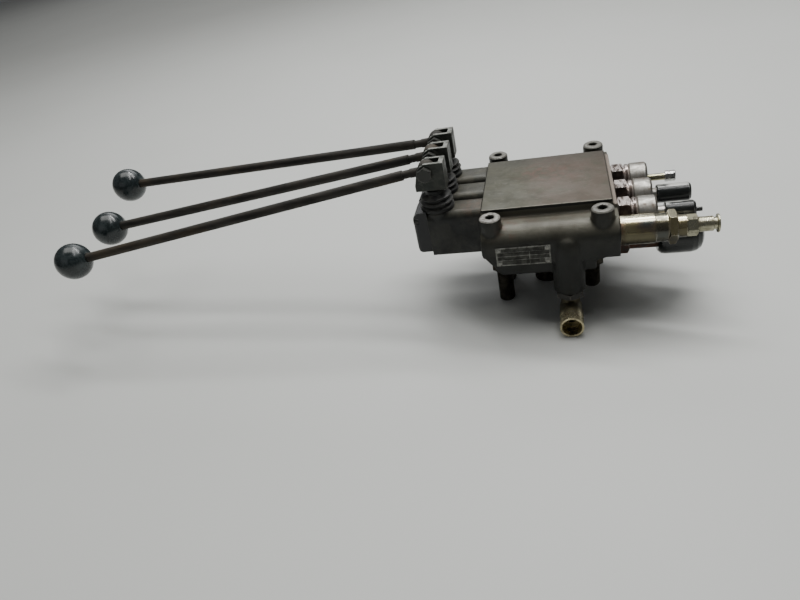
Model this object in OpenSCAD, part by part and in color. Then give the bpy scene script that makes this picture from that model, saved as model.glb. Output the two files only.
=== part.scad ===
// Three-spool hydraulic monoblock directional valve with hand levers.
// Origin: centre of the four mounting bosses, in the plane of their machined faces.
// +X runs along the spools towards the spring caps, +Y to the plain rear face, +Z up.

/* [Casting] */
// Length of the casting along the spools
body_l = 124; // [122:1:126]
// Depth of the casting across the spools
body_d = 170; // [170:1:174]
// Depth of the underside below the boss faces
body_h = 60; // [60:1:64]
// Distance between the mounting holes along the spools
mount_x = 100; // [98:1:102]
// Distance between the mounting holes across the spools
mount_y = 143; // [142:1:146]
// Tapping hole of the mounting bosses
mount_hole_d = 8.5; // [8.5:0.5:10]

/* [Spools] */
// Distance between neighbouring spools
spool_pitch = 37; // [36:0.5:37]
// Diameter of the spools
spool_d = 18; // [17:0.5:18]
// Depth of the spool axes below the boss faces
spool_drop = 29; // [28.5:0.5:29.5]
// Radial clearance of every running fit
run_gap = 0.04; // [0.02:0.01:0.08]

/* [Levers] */
// Diameter of the lever rods
rod_d = 10; // [9:0.5:10]
// Diameter of the ball knobs
knob_d = 40; // [36:1:44]
// Width of the lever forks
fork_w = 18; // [18:1:20]

/* [Ports] */
// Depth of the A fittings, the tank fitting and the elbow below the boss faces
stand_h = 115; // [112:1:118]
// Depth of the B fittings below the boss faces
b_port_h = 103; // [100:1:108]
// Outside diameter of the work port fittings
port_d = 16; // [15:0.5:17]

/* [Hidden] */
$fn = 64;
SECTIONS = [1, 2, 3];

// Faces of the casting; the bosses sit 2 mm nearer to the lever end
xl = 2 - body_l / 2;
xr = 2 + body_l / 2;
yf = -body_d / 2;
// The pad ends short of the right face, above a ledge; the spring seats lie in the same plane
seat_x = xr - 4;
ledge_drop = 6;
// Front and rear shoulders, which hold the relief valve and the carry-over gallery
shoulder_r = 17;
gallery_y = body_d / 2 - shoulder_r;
gallery_drop = 27.5;
gallery_d = 14;
// Round bosses of the mounting holes
boss_r = 10.2;
// Right end of the stepped lower body, and where the waist above it steps down
foot_x1 = xr - 21;
step_x = xr - 14;
// Raised machined pad
pad_d = 111.4;
pad_drop = 1.4;
// Fluid grooves around each spool: work port A, tank, pressure, work port B
a_x = xl + 14;
t_x = -14;
p_x = 20;
b_x = seat_x - 20;
groove_d = 22;
groove_w = 9;
t_groove_w = 12;
t_gallery_drop = 43;
tank_x = -4;
// Vertical inlet boss
inlet_x = 18;
inlet_y = yf + 9;
inlet_h = 81;
// Lever boxes
box_l = 53;
box_w = 32;
box_top = 2;
box_bottom = 48;
cap_l = 15;
box_screw_y = 11;
box_screw_z = [-9, -43];
// Lever pivot, fork and rod, from the pivot pin
pivot_x = xl - 43;
pivot_drop = 2;
arm = spool_drop - pivot_drop;
pin_d = 6;
bolt_at = [-5, 0, 40];
eye_d = 18;
fork_top = 49.5;
bend_at = [-21, 0, 38.5];
knob_at = [[-409, -36, -6], [-408, 1, -6], [-406, 28, 20]];
// Spring caps
collar_x1 = seat_x + 22.5;
cap_x1 = seat_x + 39.5;
cup_x = seat_x + 24;
tail_d = 7;
// Sleeves over the tails of spools 1 and 2: where each starts and how long it is
cover_x0 = [cap_x1 + 7, cap_x1 + 4.5];
cover_l = [26.5, 31];
// Relief valve
relief_x1 = seat_x + 60;
// Auxiliary cartridge under the relief valve
aux_y = -30;
aux_drop = 58;

function spool_y(i) = (i - 2) * spool_pitch;

// Turns +Z to +X
module to_x() { rotate([0, 90, 0]) children(); }

// Solid of revolution about X, from [radius, x] points
module turned_x(points) { to_x() rotate_extrude() polygon(points); }

module bar_x(x0, x1, d) { translate([x0, 0, 0]) to_x() cylinder(h = x1 - x0, d = d); }

module bar_y(y0, y1, d) { translate([0, y1, 0]) rotate([90, 0, 0]) cylinder(h = y1 - y0, d = d); }

module bar_z(z0, z1, d) { translate([0, 0, z0]) cylinder(h = z1 - z0, d = d); }

module block(x0, x1, y0, y1, z0, z1) {
    translate([x0, y0, z0]) cube([x1 - x0, y1 - y0, z1 - z0]);
}

// Outline of [x, z] points, extruded from y0 to y1
module slab_y(points, y0, y1) {
    translate([0, y1, 0]) rotate([90, 0, 0]) linear_extrude(y1 - y0) polygon(points);
}

// Round rod between two points
module rod(from, to, d) {
    v = to - from;
    translate(from) rotate([0, acos(v.z / norm(v)), atan2(v.y, v.x)]) cylinder(h = norm(v), d = d);
}

// Hexagon of width af across flats, with 30 degree chamfers, from z = 0 to h
module hex(h, af) {
    corner = af / 2 / cos(30);
    inner = 0.47 * af;
    chamfer = (corner - inner) * tan(30);
    intersection() {
        rotate(30) cylinder(h = h, r = corner, $fn = 6);
        rotate_extrude() polygon([[0, 0], [inner, 0], [corner + 0.1, chamfer],
            [corner + 0.1, h - chamfer], [inner, h], [0, h]]);
    }
}

module hex_x(x0, x1, af) { translate([x0, 0, 0]) to_x() hex(x1 - x0, af); }

module at_spool(i) { translate([0, spool_y(i), -spool_drop]) children(); }

module at_pivot(i) { translate([pivot_x, spool_y(i), -pivot_drop]) children(); }

module at_gallery(side) { translate([0, side * gallery_y, -gallery_drop]) children(); }

module at_screws(i) {
    for (s = [0, 1]) translate([0, spool_y(i) + (2 * s - 1) * box_screw_y, box_screw_z[s]]) children();
}

// Round-wire coil spring along Z from 0 to length
module coil(length, mean_d, wire, turns) {
    steps = turns * 12;
    sides = 6;
    points = [for (s = [0:steps], k = [0:sides - 1])
        let (a = 30 * s, b = 360 * k / sides, r = mean_d / 2 + wire / 2 * cos(b))
        [r * cos(a), r * sin(a), wire / 2 + (length - wire) * s / steps + wire / 2 * sin(b)]];
    walls = [for (s = [0:steps - 1], k = [0:sides - 1])
        let (n = (k + 1) % sides)
        [s * sides + k, s * sides + n, (s + 1) * sides + n, (s + 1) * sides + k]];
    ends = [[for (k = [sides - 1:-1:0]) k], [for (k = [0:sides - 1]) steps * sides + k]];
    polyhedron(points, concat(walls, ends));
}

// Outside of the casting
module casting() {
    waist = [[xl, -34], [xl + 9, -46], [step_x, -46], [step_x, -45], [xr, -45], [xr, -34]];
    foot = [[xl + 9, -46], [xl + 11, -54], [xl + 17, -body_h], [foot_x1, -body_h],
        [foot_x1, -51.5], [step_x, -46]];
    for (side = [-1, 1]) at_gallery(side) bar_x(xl, xr, 2 * shoulder_r);
    block(xl, xr, yf, -yf, -34, -gallery_drop);
    block(xl, xr, -gallery_y, gallery_y, -gallery_drop, shoulder_r - gallery_drop);
    block(xl, seat_x, -pad_d / 2, pad_d / 2, shoulder_r - gallery_drop, -pad_drop);
    block(seat_x, xr, -pad_d / 2, pad_d / 2, shoulder_r - gallery_drop, -ledge_drop);
    slab_y(waist, yf, -yf);
    slab_y(foot, yf + 5, -yf - 5);
    for (x = [-1, 1], y = [-1, 1]) translate([x * mount_x / 2, y * mount_y / 2, 0])
        rotate_extrude() polygon([[0, -34], [boss_r - 1.4, -34], [boss_r, -18], [boss_r, -1.6],
            [boss_r - 1.4, 0], [0, 0]]);
    translate([inlet_x, inlet_y, 0]) {
        rotate_extrude() polygon([[0, -inlet_h], [13.8, -inlet_h], [14.8, 1 - inlet_h],
            [14.8, -34], [0, -34]]);
        translate([0, 0, -34]) sphere(r = 14.8);
    }
    for (i = SECTIONS, x = [a_x, b_x]) translate([x, spool_y(i), 0]) bar_z(-body_h - 4, -50, 24);
    translate([tank_x, 0, 0]) bar_z(-body_h - 2, -50, 34);
    block(foot_x1, xr, aux_y - 13, aux_y + 13, -aux_drop, -40);
    translate([0, aux_y, -aux_drop]) bar_x(xr - 8, xr, 30);
}

// Fluid passages and grooves of the casting
module passages() {
    bore = spool_d + 2 * run_gap;
    for (i = SECTIONS) at_spool(i) {
        bar_x(xl - 1, xr + 1, bore);
        for (x = [a_x, p_x, b_x]) bar_x(x - groove_w / 2, x + groove_w / 2, groove_d);
        bar_x(t_x - t_groove_w / 2, t_x + t_groove_w / 2, groove_d);
        bar_x(xl - 1, xl + 4, 24);
        bar_x(seat_x - 13, seat_x - 9.5, 24);
        bar_x(seat_x - 8, xr + 1, 26);
    }
    for (i = SECTIONS, x = [a_x, b_x]) translate([x, spool_y(i), 0]) {
        bar_z(-body_h - 5, 11 - body_h, port_d);
        bar_z(-body_h, -spool_drop, 10);
    }
    for (i = SECTIONS) translate([p_x, spool_y(i), 0]) {
        bar_z(-body_h - 1, 10 - body_h, 12);
        bar_z(-body_h, -42, 9);
        bar_z(-43, -spool_drop, 5.5);
    }
    translate([p_x, 0, -spool_drop]) bar_y(-gallery_y - 6, gallery_y, 12);
    translate([t_x, 0, -t_gallery_drop]) bar_y(-spool_pitch - 14, spool_pitch + 14, 12);
    translate([tank_x, 0, 0]) bar_z(-body_h - 3, 12 - body_h, 22);
    for (side = [-1, 1]) at_gallery(side) {
        bar_x(xl - 1, xr + 1, gallery_d);
        bar_x(xl - 1, xl + 10, gallery_d + 2);
    }
    at_gallery(1) bar_x(xr - 10, xr + 1, gallery_d + 2);
    at_gallery(-1) bar_x(seat_x - 20, xr + 1, 22);
    translate([inlet_x, inlet_y, 0]) {
        bar_z(-inlet_h - 1, 11 - inlet_h, 18);
        bar_z(-inlet_h, -gallery_drop, 14);
    }
    translate([0, aux_y, -aux_drop]) bar_x(seat_x - 7, xr + 1, 22);
}

module valve_block() {
    color("#46453d") difference() {
        casting();
        passages();
        for (x = [-1, 1], y = [-1, 1]) translate([x * mount_x / 2, y * mount_y / 2, 0])
            bar_z(-13, 1, mount_hole_d);
        for (i = SECTIONS) at_screws(i) bar_x(xl - 1, xl + 12, 5);
        rivet_places() bar_y(-1, 4, 2);
    }
}

// Blank riveted nameplate on the front face
plate = [[xl + 13, -45.5], [xl + 63, -26]];

module rivet_places() {
    for (x = [plate[0].x + 3, plate[1].x - 3], z = [plate[0].y + 3, plate[1].y - 3])
        translate([x, yf, z]) children();
}

module nameplate() {
    color("#8d8d88") difference() {
        block(plate[0].x, plate[1].x, yf - 0.8, yf, plate[0].y, plate[1].y);
        rivet_places() bar_y(-1, 1, 2);
    }
}

module nameplate_rivets() {
    color("#9a9a95") rivet_places() {
        bar_y(-1, 3.5, 2);
        intersection() {
            translate([0, 0.9, 0]) sphere(r = 2.6);
            bar_y(-2, -0.8, 6);
        }
    }
}

// Flush plugs of the galleries and of the load checks
module plugs() {
    color("#3a3934") {
        for (side = [-1, 1]) at_gallery(side) socket_plug(xl);
        mirror([1, 0, 0]) at_gallery(1) socket_plug(-xr);
        for (i = SECTIONS) translate([p_x, spool_y(i), -body_h]) difference() {
            union() {
                translate([0, 0, -6]) hex(6, 14);
                bar_z(-1, 9, 12);
            }
            bar_z(2, 10, 9);
        }
    }
}

module socket_plug(x) {
    difference() {
        bar_x(x, x + 10, gallery_d + 2);
        translate([x - 1, 0, 0]) to_x() cylinder(h = 6, d = 8 / cos(30), $fn = 6);
    }
}

// Lever box of section i: spool bore, lever well and pivot collar
module lever_box(i) {
    r = 8;
    x0 = xl - box_l;
    color("#3b3a33") difference() {
        union() {
            at_spool(i) for (s = [-1, 1]) translate([0, s * (box_w / 2 - r), spool_drop - box_top - r])
                bar_x(x0, xl, 2 * r);
            translate([0, spool_y(i), 0]) {
                block(x0, xl, r - box_w / 2, box_w / 2 - r, -box_bottom, -box_top);
                block(x0, xl, -box_w / 2, box_w / 2, -box_bottom, -box_top - r);
            }
            at_pivot(i) bar_z(-16, 0, box_w);
            at_pivot(i) bar_z(-1, 6, 25);
        }
        at_spool(i) bar_x(x0 - 7, xl + 1, 24);
        at_pivot(i) bar_z(-arm, -5, 21);
        at_pivot(i) bar_z(-6, 7, 16);
        at_pivot(i) bar_y(-14, 14, pin_d);
        at_screws(i) bar_x(x0 - 7, xl + 1, 5.5);
    }
}

// Caps that close the lever boxes and leave room for the spool ends
module box_caps() {
    x0 = xl - box_l - cap_l;
    x1 = xl - box_l;
    w = 30;
    r = 5;
    color("#1d1e1d") for (i = SECTIONS) difference() {
        intersection() {
            translate([0, spool_y(i), 0]) union() {
                block(x0 + r, x1, -w / 2, w / 2, -43.5, 0);
                block(x0, x0 + r, r - w / 2, w / 2 - r, -43.5, 0);
                for (s = [-1, 1]) translate([x0 + r, s * (w / 2 - r), 0]) bar_z(-43.5, 0, 2 * r);
            }
            translate([0, spool_y(i), 0]) union() {
                block(x0 - 1, x1, -w, w, -38.5, -9);
                block(x0 + 5, x1, -w, w, -43.5, 0);
                translate([x0 + 9, 0, -9]) bar_y(-w, w, 18);
                translate([x0 + 5, 0, -38.5]) bar_y(-w, w, 10);
            }
        }
        at_pivot(i) bar_z(-16, 3, box_w + 0.1);
        at_pivot(i) bar_z(-0.1, 3, box_w + 2);
        at_spool(i) bar_x(x1 - 9, x1 + 1, 20);
        at_screws(i) bar_x(x0 - 1, x1 + 1, 5.5);
        at_screws(i) bar_x(x0 - 1, x0 + 6, 9.4);
    }
}

module box_screws() {
    x = xl - box_l - cap_l + 6;
    color("#2b2b2b") for (i = SECTIONS) at_screws(i) difference() {
        union() {
            bar_x(x - 5, x, 8.5);
            bar_x(x, xl + 11, 5);
        }
        translate([x - 6, 0, 0]) to_x() cylinder(h = 4, d = 4 / cos(30), $fn = 6);
    }
}

module lever_pivot_pins() {
    color("#777770") for (i = SECTIONS) at_pivot(i) bar_y(-12.5, 12.5, pin_d);
}

// Folded rubber boot between the lever box and the lever fork
module bellows(i) {
    color("#191a19") at_pivot(i) rotate_extrude() polygon([
        [13, 0], [16, 0], [16.8, 1], [16.8, 3.4], [14, 5.6], [16.6, 8.4], [13.4, 11], [15.4, 13.6],
        [11.2, 16], [9.6, 17.2], [9.6, 20.4], [7.2, 20.4], [7.2, 16.6], [9, 14.6], [12.6, 13.4],
        [10.8, 11], [13.8, 8.4], [13, 5.6]]);
}

// Forged lever: clamp fork above, pivot boss and ball arm below
module lever_fork(i) {
    side = [[13, 22], [13, fork_top], [-6, fork_top], [-13, 43], [-17, 28], [-17, 22]];
    color("#262723") at_pivot(i) difference() {
        union() {
            slab_y(side, -fork_w / 2, fork_w / 2);
            translate([bolt_at.x, 0, bolt_at.z]) bar_y(-fork_w / 2 - 0.6, fork_w / 2 + 0.6, 17);
            bar_z(8, 22, 13);
            bar_z(-7, 8, 12);
            bar_z(-arm, -7, 6);
            translate([0, 0, -arm]) sphere(d = 10);
        }
        block(-18, 8, -5.3, 5.3, 29, fork_top + 1);
        translate([bolt_at.x, 0, bolt_at.z]) bar_y(-12, 12, 8);
        bar_y(-7, 7, pin_d + 2 * run_gap);
    }
}

// Cross bolt and nut that clamp the rod's eye in the fork
module clamp_bolt(i) {
    ear = fork_w / 2 + 0.6;
    color("#4a4a44") at_pivot(i) translate([bolt_at.x, 0, bolt_at.z]) {
        bar_y(-ear, ear + 9, 8);
        translate([0, -ear, 0]) rotate([90, 0, 0]) hex(5.3, 13);
        translate([0, ear + 6.5, 0]) rotate([90, 0, 0]) difference() {
            hex(6.5, 13);
            bar_z(-1, 8, 8.1);
        }
    }
}

// Rod with a turned-down neck and a forged eye; its free end sits in the knob
module lever_rod(i) {
    way = (knob_at[i - 1] - bend_at) / norm(knob_at[i - 1] - bend_at);
    neck_d = 0.8 * rod_d;
    color("#2c2620") at_pivot(i) difference() {
        union() {
            translate([bolt_at.x, 0, bolt_at.z]) bar_y(-5.2, 5.2, eye_d);
            rod(bolt_at, bend_at, neck_d + 1);
            rod(bend_at - 3 * way, bend_at + 10 * way, neck_d);
            rod(bend_at + 8 * way, knob_at[i - 1], rod_d);
        }
        translate([bolt_at.x, 0, bolt_at.z]) bar_y(-6, 6, 8);
    }
}

module knob(i) {
    at = knob_at[i - 1];
    back = (bend_at - at) / norm(bend_at - at);
    color("#0c0f10") at_pivot(i) translate(at) rotate([0, acos(back.z), atan2(back.y, back.x)])
        difference() {
            sphere(d = knob_d);
            bar_z(-0.5, knob_d, rod_d + 2 * run_gap);
            bar_z(knob_d / 2 - 1, knob_d, 16);
        }
}

// Spool: lands and waists, with a cross hole for the lever's ball
module spool(i) {
    r = spool_d / 2;
    waist = 5.5;
    x0 = pivot_x - 6.5;
    x1 = seat_x - 6;
    color("#8f9090") at_spool(i) difference() {
        turned_x([[0, x0], [r - 1, x0], [r, x0 + 1], [r, a_x + 9], [waist, a_x + 11],
            [waist, t_x - 11], [r, t_x - 9], [r, t_x + 10], [waist, t_x + 12], [waist, p_x - 10],
            [r, p_x - 8], [r, p_x + 9], [waist, p_x + 10], [waist, b_x - 8], [r, b_x - 7], [r, x1], [0, x1]]);
        translate([pivot_x, 0, 0]) bar_z(-r - 1, r + 1, 10.5);
        bar_x(x1 - 12, x1 + 1, 8);
    }
}

module spool_seals() {
    color("#121212") for (i = SECTIONS) at_spool(i) {
        for (x = [xl + 0.5, seat_x - 13]) difference() {
            bar_x(x, x + 3.5, 24);
            bar_x(x - 1, x + 5, spool_d + 2 * run_gap);
        }
    }
}

// Tail of section i: screw that carries the outer spring cup, and the rod beyond it
module spool_tail(i) {
    end = seat_x + 57;
    color("#b9ad82") at_spool(i) {
        turned_x([[0, seat_x - 16], [4, seat_x - 16], [4, cup_x], [9.8, cup_x], [9.8, cup_x + 3], [6, cup_x + 3],
            [6, cup_x + 6.5], [tail_d / 2, cup_x + 6.5], [tail_d / 2, end], [0, end]]);
        if (i == 3) turned_x([[0, end], [5, end], [5.5, end + 0.5], [5.5, end + 3.4], [4.9, end + 3.8],
            [4.9, end + 4.6], [5.5, end + 5], [5.5, end + 9.2], [4.9, end + 10], [0, end + 10]]);
    }
}

module inner_spring_cups() {
    color("#77776f") for (i = SECTIONS) at_spool(i) difference() {
        bar_x(seat_x, seat_x + 3, 20.4);
        bar_x(seat_x - 1, seat_x + 4, 9);
    }
}

module centring_spring(i) {
    color("#5c5f60") at_spool(i) translate([seat_x + 3.1, 0, 0]) to_x() coil(cup_x - seat_x - 3.2, 15, 2.4, 5);
}

module end_collars() {
    lip_x = xr + 13.6;
    color("#3a332e") for (i = SECTIONS) at_spool(i) difference() {
        union() {
            bar_x(seat_x - 8, xr + 2, 26);
            hex_x(xr + 0.6, lip_x, 30);
            turned_x([[0, lip_x - 1], [14.6, lip_x - 1], [14.6, lip_x + 0.4], [16.2, lip_x + 1],
                [16.2, collar_x1 - 1.4], [15.2, collar_x1], [0, collar_x1]]);
        }
        bar_x(seat_x - 9, seat_x + 1, spool_d + 0.6);
        bar_x(seat_x, collar_x1 + 1, 21);
        bar_x(collar_x1 - 4, collar_x1 + 1, 24);
    }
}

module spring_caps() {
    color("#b4b2ae") for (i = SECTIONS) at_spool(i) difference() {
        union() {
            turned_x([[0, collar_x1 - 4], [12, collar_x1 - 4], [12, collar_x1], [16.1, collar_x1],
                [16.9, collar_x1 + 0.8], [16.9, cap_x1 - 2], [15.2, cap_x1], [0, cap_x1]]);
            if (i < 3) bar_x(cap_x1, cover_x0[i - 1] + 2.5, 12);
        }
        bar_x(collar_x1 - 5, cap_x1 - 2.5, 21);
        bar_x(cap_x1 - 4, cap_x1 + 12, tail_d + 2 * run_gap);
    }
}

// Sleeves over the tails of the front and middle spools
module end_covers() {
    color("#141615") for (i = [1, 2]) at_spool(i) translate([cover_x0[i - 1], 0, 0]) end_cover(i);
}

module end_cover(i) {
    x1 = cover_l[i - 1];
    difference() {
        union() {
            turned_x([[0, 0], [7.9, 0], [9, 1.2], [9, x1 - 2], [7.4, x1], [0, x1]]);
            if (i == 1) bar_x(x1, x1 + 6, 4.4);
        }
        bar_x(-1, 3, 12);
        bar_x(2, x1 - 3, 13);
    }
}

// Relief valve in the front gallery
module relief_body() {
    color("#a08f5a") at_gallery(-1) difference() {
        union() {
            turned_x([[0, seat_x - 20], [11, seat_x - 20], [11, xr], [12.6, xr], [13.4, xr + 0.8],
                [13.4, seat_x + 34], [12.8, seat_x + 34.6], [12.8, seat_x + 45], [0, seat_x + 45]]);
            hex_x(seat_x + 44.5, seat_x + 52.5, 27);
            bar_x(seat_x + 52, relief_x1, 20);
        }
        bar_x(seat_x - 21, relief_x1 + 1, 7);
        bar_x(seat_x - 8, seat_x + 40, 16);
        bar_x(seat_x - 8, relief_x1 + 1, 12 + 2 * run_gap);
    }
}

module relief_lock_nut() {
    color("#b3ab8c") at_gallery(-1) difference() {
        hex_x(relief_x1, relief_x1 + 9.5, 17);
        bar_x(relief_x1 - 1, relief_x1 + 12, 12 + 2 * run_gap);
    }
}

module relief_adjuster() {
    x1 = seat_x + 87;
    color("#c9bf98") at_gallery(-1) difference() {
        turned_x([[0, seat_x + 36], [7.6, seat_x + 36], [7.6, seat_x + 38], [6, seat_x + 38],
            [6, relief_x1 + 10.5], [6.7, relief_x1 + 10.5], [6.7, x1 - 5], [5.4, x1 - 4.6],
            [5.4, x1 - 2], [8.2, x1 - 1.6], [8.2, x1 - 0.4], [7.6, x1], [0, x1]]);
        translate([x1 - 4, 0, 0]) to_x() cylinder(h = 5, d = 6 / cos(30), $fn = 6);
    }
}

module relief_spring() {
    color("#5c5f60") at_gallery(-1) translate([seat_x + 4.1, 0, 0]) to_x() coil(31.8, 12, 2, 8);
}

module relief_poppet() {
    r = 8 - run_gap;
    color("#8f9090") at_gallery(-1) turned_x([[0, seat_x - 8.4], [2.5, seat_x - 8.4],
        [5, seat_x - 6], [r, seat_x - 6], [r, seat_x + 4], [0, seat_x + 4]]);
}

// Screw-in cartridge below the relief valve and its large round cap
module auxiliary_cartridge() {
    color("#5b4632") translate([0, aux_y, -aux_drop]) {
        bar_x(seat_x - 6, seat_x + 46, 22);
        hex_x(xr, xr + 12, 26);
    }
}

module auxiliary_cap() {
    color("#141615") translate([0, aux_y, -aux_drop]) difference() {
        translate([seat_x + 41.5, 0, 0]) turned_x([[0, 0], [14.5, 0], [17.2, 3], [18, 6.5], [18, 29.5],
            [16.9, 34.5], [14, 38.5], [10, 40.5], [0, 41]]);
        bar_x(seat_x + 40, seat_x + 46, 22);
    }
}

// Hexagon adaptor below a port, open at the bottom
module adaptor(top, bottom, af, d, bore, thread_d) {
    difference() {
        union() {
            bar_z(top - 1, top + 8, thread_d);
            translate([0, 0, top - 12]) hex(12, af);
            rotate_extrude() polygon([[0, bottom], [d / 2 - 1, bottom], [d / 2, bottom + 1],
                [d / 2, top - 11], [0, top - 11]]);
        }
        bar_z(bottom - 1, top + 9, bore);
    }
}

module a_port_adaptors() {
    color("#6f6a58") for (i = SECTIONS) translate([a_x, spool_y(i), 0])
        adaptor(-body_h - 6, -stand_h, 22, port_d, 10, port_d);
}

module b_port_adaptors() {
    color("#6f6a58") for (i = SECTIONS) translate([b_x, spool_y(i), 0])
        adaptor(-body_h - 6, -b_port_h, 22, port_d, 10, port_d);
}

module tank_adaptor() {
    color("#4d4a40") translate([tank_x, 0, 0]) adaptor(-body_h - 4, -stand_h, 30, 27, 17, 22);
}

module port_washers() {
    color("#8a6a3c") {
        for (i = SECTIONS, x = [a_x, b_x]) translate([x, spool_y(i), 0]) washer(-body_h - 4, 22, port_d);
        translate([tank_x, 0, 0]) washer(-body_h - 2, 30, 22);
    }
}

module washer(top, d, hole) {
    difference() {
        bar_z(top - 2, top, d);
        bar_z(top - 3, top + 1, hole);
    }
}

// Collar nut and elbow of the inlet
module inlet_collar() {
    color("#2c2925") translate([inlet_x, inlet_y, -inlet_h - 7]) difference() {
        hex(7, 24);
        bar_z(-1, 8, 18);
    }
}

module inlet_elbow() {
    z = -stand_h + 11.5;
    y1 = -24 - 10;
    color("#a98f52") translate([inlet_x, inlet_y, 0]) difference() {
        union() {
            bar_z(z, 10 - inlet_h, 18);
            translate([0, 0, z]) sphere(d = 21.2);
            translate([0, 0, z]) bar_y(y1 + 23, 0, 21.2);
            translate([0, 0, z]) bar_y(y1, y1 + 24, 22);
        }
        bar_z(z, 11 - inlet_h, 12);
        translate([0, 0, z]) sphere(d = 12);
        translate([0, 0, z]) bar_y(y1 - 1, 0, 12);
        translate([0, 0, z]) bar_y(y1 - 1, y1 + 16, 18.4);
    }
}

module check_poppet(i) {
    r = 4.5 - run_gap;
    color("#8f9090") translate([p_x, spool_y(i), 0])
        rotate_extrude() polygon([[0, -50], [r, -50], [r, -43.8], [2, -41.6], [0, -41.6]]);
}

module check_spring(i) {
    color("#5c5f60") translate([p_x, spool_y(i), 2.1 - body_h]) coil(body_h - 52.2, 6, 1.1, 4);
}

valve_block();
nameplate();
nameplate_rivets();
plugs();
box_caps();
box_screws();
lever_pivot_pins();
spool_seals();
inner_spring_cups();
end_collars();
spring_caps();
end_covers();
relief_body();
relief_lock_nut();
relief_adjuster();
relief_spring();
relief_poppet();
auxiliary_cartridge();
auxiliary_cap();
a_port_adaptors();
b_port_adaptors();
tank_adaptor();
port_washers();
inlet_collar();
inlet_elbow();
for (i = SECTIONS) {
    lever_box(i);
    bellows(i);
    lever_fork(i);
    clamp_bolt(i);
    lever_rod(i);
    knob(i);
    spool(i);
    centring_spring(i);
    spool_tail(i);
    check_poppet(i);
    check_spring(i);
}
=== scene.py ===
"""Looks of the three-lever hydraulic monoblock valve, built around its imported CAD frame.

Everything is in metres, +Z up, with the origin between the four mounting bosses.
"""

import math

import bpy
import numpy as np
from mathutils import Matrix, Vector, noise


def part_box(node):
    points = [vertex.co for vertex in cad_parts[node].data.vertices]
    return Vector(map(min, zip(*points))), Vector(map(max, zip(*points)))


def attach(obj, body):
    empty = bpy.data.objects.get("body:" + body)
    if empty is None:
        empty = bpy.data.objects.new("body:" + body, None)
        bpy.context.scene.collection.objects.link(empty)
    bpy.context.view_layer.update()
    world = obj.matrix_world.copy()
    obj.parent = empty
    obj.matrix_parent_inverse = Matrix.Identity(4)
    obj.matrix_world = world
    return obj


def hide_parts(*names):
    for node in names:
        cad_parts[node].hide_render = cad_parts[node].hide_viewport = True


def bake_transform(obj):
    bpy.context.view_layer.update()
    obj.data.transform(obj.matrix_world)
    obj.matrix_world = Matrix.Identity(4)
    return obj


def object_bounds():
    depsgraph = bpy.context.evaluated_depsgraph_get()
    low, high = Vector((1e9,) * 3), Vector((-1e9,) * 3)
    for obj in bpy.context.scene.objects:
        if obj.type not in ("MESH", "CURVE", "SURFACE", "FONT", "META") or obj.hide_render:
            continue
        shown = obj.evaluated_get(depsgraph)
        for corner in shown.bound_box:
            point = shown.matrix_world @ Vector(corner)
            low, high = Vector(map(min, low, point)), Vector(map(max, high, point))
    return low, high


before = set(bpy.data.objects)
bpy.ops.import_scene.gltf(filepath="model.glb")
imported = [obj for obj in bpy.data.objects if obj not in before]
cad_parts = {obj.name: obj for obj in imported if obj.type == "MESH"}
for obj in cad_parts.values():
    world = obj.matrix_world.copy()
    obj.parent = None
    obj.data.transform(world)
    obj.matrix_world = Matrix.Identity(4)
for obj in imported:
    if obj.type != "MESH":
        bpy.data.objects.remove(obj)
cad_low, cad_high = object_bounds()

MM = 0.001
SECTIONS = (1, 2, 3)
SPOOL_PITCH = 37 * MM
# Centres of the mounting bosses, to each side of the origin
BOSS_X, BOSS_Y = 50 * MM, 71.5 * MM

# ---------------------------------------------------------------- stage


def add_camera():
    """Sees the valve as the bench photograph does, a little rolled."""
    spot = Vector((0.0184, -0.6034, 0.2821))
    forward = Vector((-0.2558, 0.7942, -0.5513)).normalized()
    up = Vector((0.0568, 0.5816, 0.8115)).normalized()
    right = forward.cross(up)
    data = bpy.data.cameras.new("camera")
    data.sensor_width = 36
    data.lens = 29.04
    camera = bpy.data.objects.new("camera", data)
    camera.matrix_world = Matrix.Translation(spot) @ Matrix((right, up, -forward)).transposed().to_4x4()
    bpy.context.scene.collection.objects.link(camera)
    bpy.context.scene.camera = camera


def add_lamp(name, spot, target, size, watts, colour):
    data = bpy.data.lights.new(name, "AREA")
    data.shape = "RECTANGLE"
    data.size, data.size_y = size
    data.energy = watts
    data.color = colour
    lamp = bpy.data.objects.new(name, data)
    lamp.location = spot
    lamp.rotation_mode = "QUATERNION"
    lamp.rotation_quaternion = (Vector(target) - Vector(spot)).to_track_quat("-Z", "Y")
    bpy.context.scene.collection.objects.link(lamp)


def add_lights():
    """Soft light from above and behind, two narrow strips for highlights, a weak fill and a far lamp."""
    add_lamp("overhead", (-0.3, 0.8, 2.7), (-0.1, 0.1, 0), (3.6, 1.9), 64, (1.0, 0.995, 0.965))
    add_lamp("strip_behind", (0.2, 0.72, 1.3), (0, 0, 0), (1.6, 0.12), 14, (1.0, 1.0, 1.0))
    add_lamp("strip_above", (0.2, 0.05, 1.4), (0.1, -0.05, 0), (1.2, 0.06), 6, (1.0, 1.0, 1.0))
    add_lamp("window", (-0.45, 1.7, 1.15), (0, 0, 0), (1.6, 0.5), 6, (0.97, 0.99, 1.0))
    add_lamp("fill", (-0.9, -1.3, 0.8), (-0.1, 0, 0), (1.2, 0.8), 1.0, (0.96, 0.98, 1.0))
    add_lamp("far_floor", (-1.8, 4.0, 2.4), (-1.8, 3.9, 0), (4.0, 2.0), 26, (1.0, 0.995, 0.98))
    world = bpy.data.worlds.new("studio")
    world.use_nodes = True
    background = world.node_tree.nodes["Background"]
    background.inputs["Color"].default_value = (0.86, 0.88, 0.9, 1)
    background.inputs["Strength"].default_value = 0.09
    bpy.context.scene.world = world


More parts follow.
